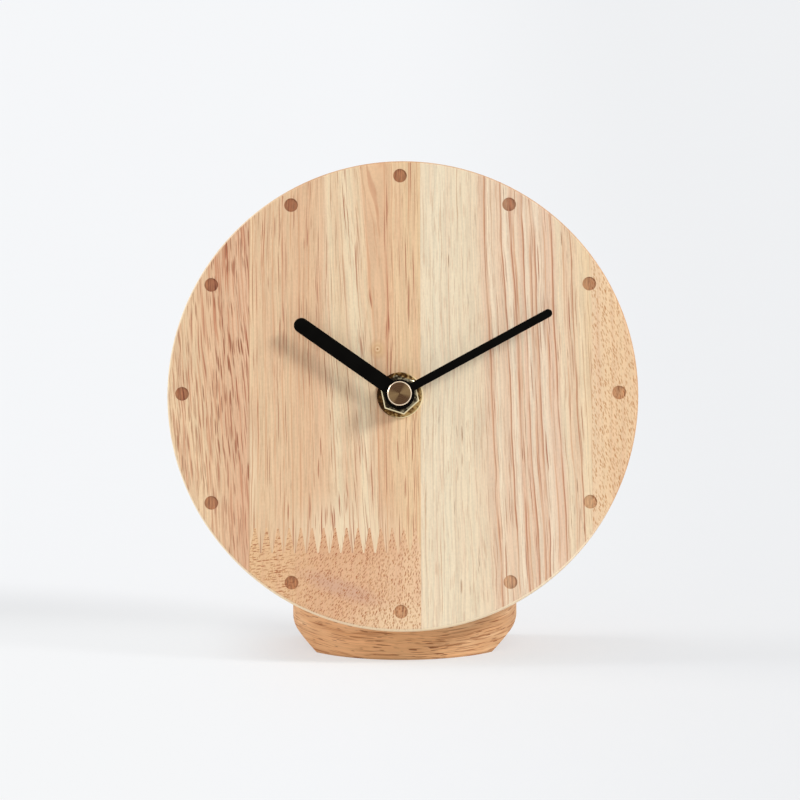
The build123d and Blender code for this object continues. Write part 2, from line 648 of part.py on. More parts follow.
def setting_knob():
    """Knurled knob, shaft and pinion in one piece, which turns the motion wheel by hand."""
    knob_front = cover_back + RECESS_DEPTH - BODY_GAP
    knob_back = knob_front - KNOB_HEIGHT
    knob = rod(KNOB_RADIUS, knob_back, knob_front)
    knob = chamfer(knob.edges().filter_by(GeomType.CIRCLE), KNOB_CHAMFER)
    for number in range(KNOB_GROOVES):
        x, y = polar(KNOB_RADIUS, number * 360 / KNOB_GROOVES)
        knob -= rod(KNOB_GROOVE_RADIUS, knob_back - OVERRUN, knob_front + OVERRUN, x, y)
    knob -= rod(KNOB_DISH_RADIUS, knob_back - OVERRUN, knob_back + KNOB_DISH_DEPTH)
    knob += rod(KNOB_SHAFT_RADIUS, knob_front, layer_back("motion"))
    knob += toothed(KNOB_TEETH, knob_module, knob_phase, "motion")
    knob += rod(KNOB_PIVOT_RADIUS, layer_front("motion"), arbor_front)
    return knob.moved(Pos(knob_x, knob_y, 0))


# Going train
def centre_wheel():
    wheel = toothed(CENTRE_TEETH, centre_module, centre_phase, "centre")
    bore = MINUTE_TAIL_RADIUS + RUN_CLEARANCE
    return wheel - rod(bore, layer_back("centre") - OVERRUN, layer_front("centre") + OVERRUN)


def third_wheel():
    wheel = toothed(THIRD_TEETH, third_module, third_phase, "third")
    wheel += toothed(THIRD_PINION_TEETH, centre_module, third_pinion_phase, "third", "centre")
    wheel += rod(ARBOR_RADIUS, arbor_back, arbor_front)
    return wheel.moved(Pos(third_x, third_y, 0))


def seconds_wheel():
    wheel = toothed(SECONDS_TEETH, seconds_module, seconds_phase, "seconds")
    wheel += toothed(SECONDS_PINION_TEETH, third_module, seconds_pinion_phase, "seconds", "third")
    bore_back = layer_back("seconds") - OVERRUN
    return wheel - rod(SECONDS_ARBOR_RADIUS, bore_back, layer_front("third") + OVERRUN)


def seconds_arbor():
    return rod(SECONDS_ARBOR_RADIUS, arbor_back, minute_tip_front - SECONDS_ARBOR_SHORT)


def fast_wheel():
    wheel = toothed(FAST_TEETH, fast_module, fast_phase, "fast")
    wheel += toothed(FAST_PINION_TEETH, seconds_module, fast_pinion_phase, "fast", "seconds")
    wheel += rod(ARBOR_RADIUS, arbor_back, arbor_front)
    return wheel.moved(Pos(fast_x, fast_y, 0))


def rotor_pinion():
    pinion = toothed(ROTOR_TEETH, fast_module, rotor_phase, "fast")
    pinion += rod(ARBOR_RADIUS, arbor_back, arbor_front)
    return pinion.moved(Pos(rotor_x, rotor_y, 0))


magnet_front = layer_back("fast") - MAGNET_STAND
magnet_back = magnet_front - MAGNET_THICKNESS
stator_back = (magnet_front + magnet_back) / 2 - STATOR_THICKNESS / 2
stator_front = stator_back + STATOR_THICKNESS
core_back = stator_front
core_front = core_back + STATOR_THICKNESS
core_left = rotor_x - STATOR_LEFT
core_right = rotor_x + STATOR_RIGHT
core_y = core_top - STATOR_LEG_WIDTH / 2
coil_z = (core_back + core_front) / 2
coil_left = core_left + STATOR_LEG_WIDTH + BOBBIN_END_GAP
coil_right = core_right - STATOR_LEG_WIDTH - BOBBIN_END_GAP


def core_post_places():
    inset = STATOR_LEG_WIDTH / 2
    return [(core_left + inset, core_y), (core_right - inset, core_y)]


def rotor_magnet():
    return tube(MAGNET_RADIUS, ARBOR_RADIUS, magnet_back, magnet_front, rotor_x, rotor_y)


def stator():
    """A flat yoke round the rotor, with two legs up to the coil's core."""
    low = rotor_y - STATOR_BAR_WIDTH / 2
    hole_radius = MAGNET_RADIUS + STATOR_HOLE_GAP
    plate = block(core_left, core_right, low, low + STATOR_BAR_WIDTH, stator_back, stator_front)
    plate += rod(hole_radius + STATOR_RING_WIDTH, stator_back, stator_front, rotor_x, rotor_y)
    for left in (core_left, core_right - STATOR_LEG_WIDTH):
        plate += block(left, left + STATOR_LEG_WIDTH, low, core_top, stator_back, stator_front)
    return plate - rod(hole_radius, stator_back - OVERRUN, stator_front + OVERRUN, rotor_x, rotor_y)


def coil_core():
    return block(core_left, core_right, core_top - STATOR_LEG_WIDTH, core_top, core_back, core_front)


def along_coil(shape):
    """Turn a shape drawn along the spindle so that it lies along the coil, from its left end."""
    return shape.moved(Rot(0, 90, 0)).moved(Pos(coil_left, core_y, coil_z))


def bobbin_window():
    length = coil_right - coil_left
    return block(-STATOR_THICKNESS / 2, STATOR_THICKNESS / 2, -STATOR_LEG_WIDTH / 2, STATOR_LEG_WIDTH / 2,
                 -OVERRUN, length + OVERRUN)


def bobbin_drum_radius():
    return math.hypot(STATOR_LEG_WIDTH, STATOR_THICKNESS) / 2 + BOBBIN_WALL


def coil_bobbin():
    length = coil_right - coil_left
    body = rod(bobbin_drum_radius(), 0, length)
    for start in (0, length - BOBBIN_FLANGE):
        body += rod(BOBBIN_FLANGE_RADIUS, start, start + BOBBIN_FLANGE)
    return along_coil(body - bobbin_window())


def coil_winding():
    length = coil_right - coil_left
    return along_coil(tube(COIL_RADIUS, bobbin_drum_radius(), BOBBIN_FLANGE, length - BOBBIN_FLANGE))


# Circuit board
board_front = chamber_front - BOARD_DEPTH
board_back = board_front - BOARD_THICKNESS


def board_post_places():
    low = board_bottom + BOARD_POST_INSET
    high = board_bottom + board_height - BOARD_POST_INSET
    right = board_left + board_width - BOARD_POST_INSET
    return [(board_left + BOARD_POST_INSET, low), (right, low), (right, high)]


def circuit_board():
    return block(board_left, board_left + board_width, board_bottom, board_bottom + board_height,
                 board_back, board_front)


def quartz_crystal():
    """A small can that lies on the board, sunk a little into its glue."""
    can = Cylinder(CRYSTAL_RADIUS, CRYSTAL_LENGTH)
    can = fillet(can.edges().group_by(Axis.Z)[-1], CRYSTAL_END_ROUND)
    x = board_left + CRYSTAL_X_SHARE * board_width
    y = board_bottom + CRYSTAL_Y_SHARE * board_height
    can = can.moved(Rot(90, 0, 0)).moved(Pos(x, y, board_back - CRYSTAL_RADIUS + CRYSTAL_SINK))
    reach = CRYSTAL_LENGTH
    return can - block(x - reach, x + reach, y - reach, y + reach, board_back, board_back + CRYSTAL_RADIUS)


def control_chip():
    x = board_left + CHIP_X_SHARE * board_width
    y = board_bottom + CHIP_Y_SHARE * board_height
    blob = rod(CHIP_RADIUS, board_back - CHIP_HEIGHT, board_back, x, y)
    return fillet(blob.edges().group_by(Axis.Z)[0], CHIP_EDGE_ROUND)


# Battery and its contacts
def battery():
    """A round cell with its raised end to the right."""
    half = BATTERY_LENGTH / 2
    can = rod(BATTERY_RADIUS, -half, half - BATTERY_NUB_LENGTH)
    can = fillet(can.edges().filter_by(GeomType.CIRCLE), BATTERY_EDGE_ROUND)
    can += rod(BATTERY_NUB_RADIUS, half - BATTERY_NUB_LENGTH, half)
    return can.moved(Rot(0, 90, 0)).moved(Pos(0, battery_y, battery_z))


def battery_contact(side):
    """A sprung strip at one end of the battery, with a pressed bump that faces it."""
    wall = side * chamber_half
    inner = wall - side * CONTACT_THICKNESS
    low = battery_y - CONTACT_HEIGHT / 2
    back = battery_z - CONTACT_WIDTH / 2
    strip = block(min(wall, inner), max(wall, inner), low, low + CONTACT_HEIGHT, back, back + CONTACT_WIDTH)
    bump = Cone(CONTACT_BUMP_RADIUS, CONTACT_BUMP_RADIUS / 2, CONTACT_BUMP_REACH)
    place = Pos(inner - side * CONTACT_BUMP_REACH / 2, battery_y, battery_z)
    return strip + bump.moved(Rot(0, -90 * side, 0)).moved(place)


def export_nodes():
    os.makedirs("parts", exist_ok=True)
    for name, shape in dial_staves().items():
        export_step(on_dial(shape), f"parts/{name}.step")
    standing = {"foot": foot(), "foot_dowels": foot_dowels()}
    for name, shape in standing.items():
        export_step(shape, f"parts/{name}.step")
    round_hub = {
        "movement_case": movement_case(),
        "movement_cover": movement_cover(),
        "dial_gasket": dial_gasket(),
        "threaded_bush": threaded_bush(),
        "bush_washer": bush_washer(),
        "hex_nut": hex_nut(),
        "hour_hand": hour_hand(),
        "hour_wheel": hour_wheel(),
        "minute_hand": minute_hand(),
        "minute_pipe": minute_pipe(),
        "cap_nut": cap_nut(),
        "motion_wheel": motion_wheel(),
        "setting_knob": setting_knob(),
        "centre_wheel": centre_wheel(),
        "third_wheel": third_wheel(),
        "seconds_wheel": seconds_wheel(),
        "seconds_arbor": seconds_arbor(),
        "fast_wheel": fast_wheel(),
        "rotor_pinion": rotor_pinion(),
        "rotor_magnet": rotor_magnet(),
        "stator": stator(),
        "coil_core": coil_core(),
        "coil_bobbin": coil_bobbin(),
        "coil_winding": coil_winding(),
        "circuit_board": circuit_board(),
        "quartz_crystal": quartz_crystal(),
        "control_chip": control_chip(),
        "battery": battery(),
        "contact_positive": battery_contact(1),
        "contact_negative": battery_contact(-1),
    }
    for name, shape in round_hub.items():
        export_step(on_hub(shape), f"parts/{name}.step")


export_nodes()
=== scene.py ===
import bmesh
import bpy
import json
import math
from mathutils import Euler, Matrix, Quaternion, Vector


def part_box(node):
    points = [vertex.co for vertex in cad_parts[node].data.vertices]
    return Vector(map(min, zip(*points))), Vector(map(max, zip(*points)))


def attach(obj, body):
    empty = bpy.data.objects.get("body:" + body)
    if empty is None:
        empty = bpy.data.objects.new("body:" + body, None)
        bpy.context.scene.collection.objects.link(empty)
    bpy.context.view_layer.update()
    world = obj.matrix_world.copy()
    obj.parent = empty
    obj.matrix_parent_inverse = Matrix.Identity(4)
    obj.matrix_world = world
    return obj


# Round wooden desk clock: the finish of every piece, a few fine details, light, floor and camera.
# Places inside the materials are in millimetres, in the board's own frame or in the part's.

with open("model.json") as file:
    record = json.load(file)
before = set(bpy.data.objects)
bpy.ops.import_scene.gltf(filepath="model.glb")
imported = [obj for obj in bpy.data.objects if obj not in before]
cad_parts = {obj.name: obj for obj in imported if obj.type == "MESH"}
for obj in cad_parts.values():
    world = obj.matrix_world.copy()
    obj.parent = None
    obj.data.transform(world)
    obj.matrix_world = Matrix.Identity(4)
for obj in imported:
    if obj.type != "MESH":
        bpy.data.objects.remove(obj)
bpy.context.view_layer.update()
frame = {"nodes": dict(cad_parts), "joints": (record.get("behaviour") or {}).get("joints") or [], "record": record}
nodes = frame["nodes"]
MM = 0.001

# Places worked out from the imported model
spindle = next(joint for joint in frame["joints"] if joint["name"] == "minute_spin")
facing = -Vector(spindle["axis"])               # out of the board's face
uphill = Vector((0, facing.z, -facing.y))       # up along the board's face
board_tilt = math.asin(facing.z) - math.pi / 2
hub_point = Vector(spindle["pos_m"]) / MM


def depth_of(node):
    """How far out along the spindle the rearmost point of a node lies, in millimetres."""
    return min(vertex.co.dot(facing) for vertex in nodes[node].data.vertices) / MM


face_depth = depth_of("bush_washer")            # the washer lies on the board's face
hub_face = hub_point + facing * (face_depth - hub_point.dot(facing))
HUB_X = -0.9                                    # the spindle stands this far from the board's middle
dial_centre = hub_face - Vector((HUB_X, 0, 0))
left_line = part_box("dial_stave_left")[1].x / MM
middle_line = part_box("dial_stave_center_right")[0].x / MM
right_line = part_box("dial_stave_right")[0].x / MM

# Burnt dots, and the rim
DOT_COUNT = 12
DOT_RADIUS = 2.17
DOT_RING_RADIUS = 69.6
DOT_RING_X = -0.7                               # the ring was set slightly off the board's middle
DOT_RING_Y = 0.7
RIM_REACH = 73.0                                # the rim starts this far from the board's middle


# Node trees
def colour(red, green, blue):
    """A colour as a screen shows it, 0 to 255, turned into the light that it stands for."""
    shares = [channel / 255 for channel in (red, green, blue)]
    return tuple(s / 12.92 if s <= 0.04045 else ((s + 0.055) / 1.055) ** 2.4 for s in shares) + (1.0,)


class Value:
    """A number that varies over a surface. Sums and products of values add nodes."""

    def __init__(self, paint, socket):
        self.paint = paint
        self.socket = socket

    def do(self, operation, first, second=0.0):
        made = self.paint.node("Math", {0: first, 1: second}, operation=operation)
        return Value(self.paint, made.outputs[0])

    def __add__(self, other):
        return self.do("ADD", self, other)

    def __sub__(self, other):
        return self.do("SUBTRACT", self, other)

    def __mul__(self, other):
        return self.do("MULTIPLY", self, other)

    def __neg__(self):
        return self.do("MULTIPLY", self, -1.0)

    def __abs__(self):
        return self.do("ABSOLUTE", self)

    __radd__ = __add__
    __rmul__ = __mul__

    def __rsub__(self, other):
        return self.do("SUBTRACT", other, self)

    def root(self):
        return self.do("SQRT", self)

    def least(self, other):
        return self.do("MINIMUM", self, other)

    def most(self, other):
        return self.do("MAXIMUM", self, other)

    def ease(self, start, end):
        """Rises smoothly from 0 at start to 1 at end, or falls where start is the larger."""
        sockets = {"Value": self, "From Min": start, "From Max": end}
        made = self.paint.node("MapRange", sockets, interpolation_type="SMOOTHSTEP")
        return Value(self.paint, made.outputs[0])


class Tree:
    """A node tree and short ways to add to it."""

    def __init__(self, tree):
        self.tree = tree

    def feed(self, socket, given):
        if isinstance(given, Value):
            given = given.socket
        if isinstance(given, bpy.types.NodeSocket):
            self.tree.links.new(given, socket)
        else:
            socket.default_value = given

    def node(self, kind, inputs=None, **settings):
        made = self.tree.nodes.new("ShaderNode" + kind)
        for name, setting in settings.items():
            setattr(made, name, setting)
        for name, given in (inputs or {}).items():
            self.feed(made.inputs[name], given)
        return made

    def place(self, across, along, out):
        return self.node("CombineXYZ", {0: across, 1: along, 2: out}).outputs[0]

    def parts(self, vector):
        return [Value(self, part) for part in self.node("SeparateXYZ", {0: vector}).outputs]

    def frame_values(self, centre, tilt):
        """Position in millimetres in a frame at centre, turned by tilt about the part's X axis."""
        turn = Vector(centre)
        turn.rotate(Euler((tilt, 0, 0)))
        coordinates = self.node("TexCoord").outputs["Object"]
        mapping = self.node("Mapping", {"Vector": coordinates, "Location": -turn,
                                        "Rotation": (tilt, 0, 0), "Scale": (1 / MM,) * 3})
        return self.parts(mapping.outputs[0])

    def noise(self, place, scale=1.0, detail=2.0):
        made = self.node("TexNoise", {"Vector": place, "Scale": scale, "Detail": detail})
        return Value(self, made.outputs[0])

    def stretched(self, across, along, out, scales, detail=2.0, shift=0.0):
        """Noise with its own scale in each direction. shift takes it from another place."""
        aside = across * scales[0]
        if shift:
            aside = aside + shift
        return self.noise(self.place(aside, along * scales[1], out * scales[2]), detail=detail)

    def cells(self, place):
        """Distance to the nearest scattered point, a random number for it, and the way to it."""
        made = self.node("TexVoronoi", {"Vector": place, "Scale": 1.0})
        chance = self.node("SeparateColor", {0: made.outputs["Color"]}).outputs[0]
        way = self.node("VectorMath", {0: place, 1: made.outputs["Position"]}, operation="SUBTRACT")
        return Value(self, made.outputs["Distance"]), Value(self, chance), way.outputs[0]

    def mix(self, share, under, over, blend="MIX"):
        made = self.node("Mix", {0: share, 6: under, 7: over}, data_type="RGBA", blend_type=blend)
        return made.outputs[2]

    def shade(self, under, strength):
        """The colour under, multiplied by a number."""
        given = under if isinstance(under, bpy.types.NodeSocket) else under[:3]
        made = self.node("VectorMath", {0: given, "Scale": strength}, operation="SCALE")
        return made.outputs[0]

    def bands(self, value, stops, blend="EASE"):
        """A run of colours along a value, from (place, colour) stops."""
        first = stops[0][0]
        length = stops[-1][0] - first
        made = self.node("ValToRGB", {0: (value - first) * (1 / length)})
        made.color_ramp.interpolation = blend
        points = made.color_ramp.elements
        for number, (where, shown) in enumerate(stops):
            share = (where - first) / length
            point = points[0] if number == 0 else points[-1] if share == 1 else points.new(share)
            point.color = shown
        return made.outputs[0]

    def amounts(self, value, stops):
        """The same for amounts from 0 to 1."""
        greys = [(where, (amount, amount, amount, 1.0)) for where, amount in stops]
        return Value(self, self.bands(value, greys, "LINEAR"))

    def seen(self):
        """1 where a surface is looked at, also in a reflection or through glass, 0 where it lights."""
        rays = self.node("LightPath").outputs
        total = Value(self, rays["Is Camera Ray"]) + Value(self, rays["Is Glossy Ray"])
        return (total + Value(self, rays["Is Transmission Ray"])).least(1.0)


class Paint(Tree):
    """One material and the nodes that make it."""

    def __init__(self, name, **finish):
        self.material = bpy.data.materials.new(name)
        self.material.use_nodes = True
        super().__init__(self.material.node_tree)
        self.shader = self.tree.nodes["Principled BSDF"]
        for setting, number in finish.items():
            socket = setting.replace("_", " ").title().replace("Ior", "IOR")
            self.shader.inputs[socket].default_value = number

    def finish(self, base, rough=None, height=None, relief=0.05):
        """Feeds the shader: colour, roughness, and a height in parts of relief, in millimetres."""
        self.feed(self.shader.inputs["Base Color"], base)
        if rough is not None:
            self.feed(self.shader.inputs["Roughness"], rough)
        if height is not None:
            bump = self.node("Bump", {"Height": height, "Distance": relief * MM})
            self.feed(self.shader.inputs["Normal"], bump.outputs[0])
        return self.material


# Wood
PORE_LEAST = 0.45           # strength of the faintest pore, where the darkest has 1
STREAK_CORE = 0.6           # share of a streak's width that is evenly dark
FLECK_EDGE = 1.1            # a fleck starts here and is dark at its core, in half widths
FLECK_CORE = 0.5
PATCH_SCALES = (0.16, 0.03, 0.16)
PATCH_LEVEL = 0.66          # noise above which streaks in patches start, less PATCH_SPREAD times cover
PATCH_SPREAD = 0.3
PATCH_EDGE = 0.08
LINE_CORE = 0.2             # a growth line is full within this share of its width
LINE_EDGE = 0.6
LINE_FADE_SCALES = (0.25, 0.04, 0.1)
LINE_FADE_RANGE = (0.3, 0.6)
SPOT_CORE = 0.2             # a spot is full within this share of its size


def streaks(paint, across, along, out, gap, width, length, cover=1.0, where=None):
    """Long pores cut lengthwise: thin marks, pointed at both ends. 1 in a mark, 0 beside it.
    With a cover under 1 they stand in patches."""
    reach = width / gap / 2
    rise = length / reach / 2
    place = paint.place(across * (1 / gap), along * (1 / rise), out * (1 / gap))
    distance, chance = paint.cells(place)[:2]
    inside = distance.ease(reach, reach * STREAK_CORE) * (PORE_LEAST + chance * (1 - PORE_LEAST))
    if cover < 1.0:
        patches = paint.stretched(across, along, out, PATCH_SCALES, 1.0)
        level = PATCH_LEVEL - PATCH_SPREAD * cover
        inside = inside * patches.ease(level, level + PATCH_EDGE)
    return inside * paint.amounts(across, where) if where else inside


def flecks(paint, across, along, out, gap, width, length, lean=0.0, where=None):
    """Short pores that lean to the right by an angle. 1 in a pore, 0 beside it."""
    place = paint.place(across * (1 / gap), along * (1 / gap), out * (1 / gap))
    chance, way = paint.cells(place)[1:]
    x, y, z = paint.parts(way)
    cosine = math.cos(lean)
    sine = math.sin(lean)
    aside = (x * cosine - y * sine) * (2 * gap / width)
    ahead = (x * sine + y * cosine) * (2 * gap / length)
    deep = z * (2 * gap / length)
    reach = (aside * aside + ahead * ahead + deep * deep).root()
    inside = reach.ease(FLECK_EDGE, FLECK_CORE) * (PORE_LEAST + chance * (1 - PORE_LEAST))
    return inside * paint.amounts(across, where) if where else inside


def lines(paint, across, along, out, places):
    """Thin growth lines at (place, width) across the board, that fade here and there."""
    total = None
    for place, width in places:
        line = abs(across - place).ease(width * LINE_EDGE, width * LINE_CORE)
        total = line if total is None else total.most(line)
    strength = paint.stretched(across, along, out, LINE_FADE_SCALES)
    return total * strength.ease(*LINE_FADE_RANGE)


def spot(across, along, x, y, wide, tall, slant=0.0):
    """A soft oval patch round a place on the board. 1 in its middle, 0 outside it."""
    aside = (across - x) * (1 / wide)
    above = (along - y + (across - x) * slant) * (1 / tall)
    return (aside * aside + above * above).root().ease(1.0, SPOT_CORE)


DOT_EDGE = 0.1
DOT_DEPTH = (-3.0, -2.0)        # behind this depth under the face nothing is burnt
DOT_TINTS = [(-95, colour(184, 146, 126)), (0, colour(194, 160, 140)), (100, colour(216, 190, 170))]
DOT_GRAIN = 1.6
DOT_GRAIN_ASIDE = 2.0
DOT_GRAIN_ALONG = 0.3


def burnt(paint, base, right, up, out):
    """Browns the wood inside the twelve hour dots, darkest at the upper left."""
    x = right - DOT_RING_X
    y = up - DOT_RING_Y
    turn = x.do("ARCTAN2", y, x) * (DOT_COUNT / (2 * math.pi))
    offset = x.do("FRACT", turn + 0.5) - 0.5
    angle = offset * (2 * math.pi / DOT_COUNT)
    reach = (x * x + y * y).root()
    nearness = x.do("COSINE", angle) * reach * (-2 * DOT_RING_RADIUS)
    distance = (reach * reach + nearness + DOT_RING_RADIUS ** 2).most(0.0).root()
    inside = distance.ease(DOT_RADIUS + DOT_EDGE, DOT_RADIUS - DOT_EDGE) * out.ease(*DOT_DEPTH)
    charred = paint.mix(1.0, base, paint.bands(right - up, DOT_TINTS), "MULTIPLY")
    grain = paint.noise(paint.place(right * DOT_GRAIN_ASIDE, up * DOT_GRAIN_ALONG, 0.0), detail=3.0)
    charred = paint.shade(charred, 1.0 + (grain - 0.5) * DOT_GRAIN)
    return paint.mix(inside, base, charred)


# Painted light on the rim: a pale painted highlight at the lower left and underside, painted shade at the upper
# right
RIM_STRENGTH = 0.62
RIM_STRENGTH_BELOW = 0.13       # added at the bottom of the board
RIM_BELOW = (-20.0, -60.0)
RIM_DEPTH = (-2.2, -1.2)        # how far back from the face the rim's painted light reaches
UNDERSIDE = (-45.0, -66.0)      # low on the board the painted highlight reaches back over the underside
UNDERSIDE_DEPTH = (-12.0, -11.8)
RIM_SHADE_SIDE = (0.0, 45.0)           # right and up together
RIM_PAINTED_HIGHLIGHT = colour(255, 236, 200)
RIM_PAINTED_SHADE = colour(196, 146, 104)


def rim_painted_light(paint, base, right, up, out):
    """The board's rim in painted light: a painted highlight on its front edge at the lower left and on its
    underside, and painted shade on its front edge at the upper right."""
    near_front = out.ease(*RIM_DEPTH).most(up.ease(*UNDERSIDE) * out.ease(*UNDERSIDE_DEPTH))
    outside = (right * right + up * up).root().ease(RIM_REACH - 0.5, RIM_REACH)
    rim = out.ease(-0.02, -0.2) * near_front * outside
    # painted shade towards the upper right, painted highlight towards the lower left
    shaded_side = (right + up).ease(*RIM_SHADE_SIDE)
    strength = RIM_STRENGTH + up.ease(*RIM_BELOW) * RIM_STRENGTH_BELOW
    return paint.mix(rim * strength, base, paint.mix(shaded_side, RIM_PAINTED_HIGHLIGHT, RIM_PAINTED_SHADE))


# Noise scales are across, along and into the board, per millimetre
WOOD_IOR = 1.45
WANDER = 2.4                    # how far the grain bends aside: slowly, and in ripples
WANDER_SCALES = (0.035, 0.016, 0.03)
RIPPLE = 1.1
RIPPLE_SCALES = (0.2, 0.05, 0.15)
BOARD_LAYERS = ((0.28, 0.006, 0.10), (0.7, 0.010, 0.13), (1.5, 0.03, 0.13))    # across, along, strength
BLUSH = colour(216, 163, 129)
BLUSH_SCALES = (0.35, 0.014, 0.3)
BLUSH_SHIFT = 7.0
BLUSH_RANGE = (0.45, 0.68)
SPECK_SCALES = (1.6, 1.0, 2.2)
SPECK_STRENGTH = 0.18
SPECK_HEIGHT = 0.3
HAIR_SCALES = (1.5, 0.05, 1.5)
HAIR_RANGE = (0.42, 0.56)
HAIR_STRENGTH = 0.09
HAIR_MEAN = 0.6
THIN_BELOW = (-44.0, -20.0)     # marks thin out downwards between these heights
SEAM_TONE = colour(176, 116, 82)
SEAM_HALF_WIDTH = 0.3
SEAM_CORE = 0.05
BOARD_ROUGHNESS = 0.62
BOARD_RELIEF = 0.03


def stave(name, tones, drift, marks, spots=(), edges=(), sway=1.0, hair_share=1.0, blush_share=0.3,
          kept_below=1.0):
    """Pale wood with upright grain. tones are colours from left to right across the board's middle,
    and drift is how far the grain leans at a place. spots are (x, y, width, height, slant, colour,
    strength), and edges are glue lines as (place, strength). kept_below is how strong the marks stay
    low on the board."""
    paint = Paint(name, ior=WOOD_IOR)
    right, up, out = paint.frame_values(dial_centre, board_tilt)
    wander = paint.stretched(right, up, out, WANDER_SCALES, 1.0) - 0.5
    ripple = paint.stretched(right, up, out, RIPPLE_SCALES) - 0.5
    leaning = right + up * paint.amounts(right, drift)
    across = leaning + wander * (WANDER * sway) + ripple * (RIPPLE * sway)
    base = paint.bands(across, tones)
    for scale, rise, share in BOARD_LAYERS:
        layer = paint.stretched(across, up, out, (scale, rise, scale))
        base = paint.shade(base, 1.0 + (layer - 0.5) * (share * hair_share))
    blush = paint.stretched(across, up, out, BLUSH_SCALES, 3.0, BLUSH_SHIFT)
    base = paint.mix(blush.ease(*BLUSH_RANGE) * blush_share, base, BLUSH)
    speck = paint.stretched(right, up, out, SPECK_SCALES)
    hairs = paint.stretched(across, up, out, HAIR_SCALES, 1.0).ease(*HAIR_RANGE)
    grain = (hairs - HAIR_MEAN) * (HAIR_STRENGTH * hair_share)
    base = paint.shade(base, 1.0 + (speck - 0.5) * SPECK_STRENGTH + grain)
    height = speck * SPECK_HEIGHT
    thinned = up.ease(*THIN_BELOW) * (1.0 - kept_below) + kept_below
    for x, y, wide, tall, slant, tint, strength in spots:
        base = paint.mix(spot(right, up, x, y, wide, tall, slant) * strength, base, tint)
    for make, tint, strength, sizes in marks:
        mark = make(paint, across, up, out, **sizes) * thinned
        base = paint.mix(mark * strength, base, tint)
        height = height - mark * strength
    for line, strength in edges:
        seam = abs(right - line).ease(SEAM_HALF_WIDTH, SEAM_CORE)
        base = paint.mix(seam * strength, base, SEAM_TONE)
    base = burnt(paint, rim_painted_light(paint, base, right, up, out), right, up, out)
    return paint.finish(base, BOARD_ROUGHNESS - height * 0.1, height, BOARD_RELIEF)


# Marks in the staves, as (function, colour, strength, settings)
BROWN = colour(146, 88, 54)
RED_BROWN = colour(170, 100, 68)
RUST_BROWN = colour(146, 80, 46)
PINK_BROWN = colour(198, 134, 98)
SOFT_BROWN = colour(194, 142, 102)
ORANGE_BROWN = colour(190, 132, 80)
WARM_BROWN = colour(166, 92, 44)
LINE_BROWN = colour(210, 154, 114)
FAINT = (streaks, SOFT_BROWN, 0.4, dict(gap=0.5, width=0.36, length=6.0))
MIDDLE_LINES = [(-46.4, 0.5), (-43.8, 0.6), (-41.0, 0.45), (-38.2, 0.6), (-35.4, 0.5), (-32.8, 0.6),
                (-29.6, 0.4), (-8.1, 0.5), (-5.2, 0.4)]
PALE_WIDE_LINES = [(28.4, 0.7), (30.2, 0.4), (34.4, 0.6), (37.4, 0.7), (38.3, 0.5), (40.6, 0.6),
                   (42.6, 0.6), (44.2, 0.7), (47.4, 0.5), (49.6, 0.7), (53.2, 0.5), (55.6, 0.5)]
PALE_THIN_LINES = [(28.6, 0.4), (34.5, 0.45), (37.5, 0.5), (40.7, 0.45), (43.0, 0.4), (44.4, 0.5),
                   (49.7, 0.45), (55.6, 0.4)]


def left_stave():
    tones = [(-75, colour(231, 199, 159)), (-66, colour(230, 198, 158)), (-60, colour(227, 191, 152)),
             (-55, colour(221, 180, 143)), (-48, colour(223, 183, 147))]
    dense = [(-75, 0.75), (-67, 0.7), (-62, 0.75), (-56, 1.0), (-49, 1.0)]
    marks = [
        FAINT,
        (streaks, PINK_BROWN, 1.0, dict(gap=0.7, width=0.6, length=20.0, where=dense)),
        (streaks, RED_BROWN, 1.0, dict(gap=0.55, width=0.45, length=13.0, where=dense)),
        (streaks, RUST_BROWN, 1.0, dict(gap=0.66, width=0.5, length=7.0, cover=0.95, where=dense)),
    ]
    spots = [(-63.5, 26.0, 3.5, 16.0, 0.0, colour(228, 191, 151), 0.6)]
    return stave("stave_wood_streaked", tones, [(-76, 0.065), (-48, 0.065)], marks, spots,
                 [(left_line, 0.5)], kept_below=0.6)


def middle_stave():
    tones = [(-50, colour(227, 195, 155)), (-40, colour(225, 191, 152)), (-31, colour(222, 185, 146)),
             (-25, colour(225, 189, 151)), (-22, colour(232, 208, 171)), (-18, colour(228, 199, 161)),
             (-13, colour(234, 212, 176)), (-9.6, colour(230, 203, 165)), (-7.6, colour(223, 185, 146)),
             (-4, colour(225, 186, 145)), (-2.4, colour(229, 195, 153)), (6, colour(229, 196, 153))]
    drift = [(-50, 0.0), (-28, 0.0), (-19, 0.07), (-11, 0.07), (-6, 0.01), (6, 0.0)]
    marks = [
        FAINT,
        (streaks, PINK_BROWN, 0.7, dict(gap=0.8, width=0.5, length=60.0)),
        (lines, LINE_BROWN, 0.6, dict(places=MIDDLE_LINES)),
        (streaks, RED_BROWN, 1.0, dict(gap=0.62, width=0.33, length=20.0)),
        (streaks, RED_BROWN, 1.0, dict(gap=0.62, width=0.38, length=9.0, cover=0.55)),
    ]
    pale_patches = [
        (-48.0, -25.0, 2.6, 22.0, 0.0, colour(236, 210, 172), 0.7),
        (-19.0, -44.0, 24.0, 16.0, 0.0, colour(240, 219, 184), 0.58),
    ]
    pin_knot = [
        (-8.0, 14.7, 3.4, 4.0, 0.0, colour(200, 144, 96), 0.9),
        (-8.0, 14.8, 2.7, 3.2, 0.0, colour(238, 206, 160), 1.0),
        (-8.0, 14.7, 1.9, 2.1, 0.0, colour(188, 128, 76), 1.0),
        (-8.0, 14.8, 1.3, 1.4, 0.0, colour(242, 212, 168), 1.0),
        (-8.0, 14.8, 0.6, 0.6, 0.0, colour(184, 126, 76), 1.0),
    ]
    return stave("stave_wood_fine", tones, drift, marks, pale_patches + pin_knot,
                 [(left_line, 0.4), (middle_line, 0.1)])


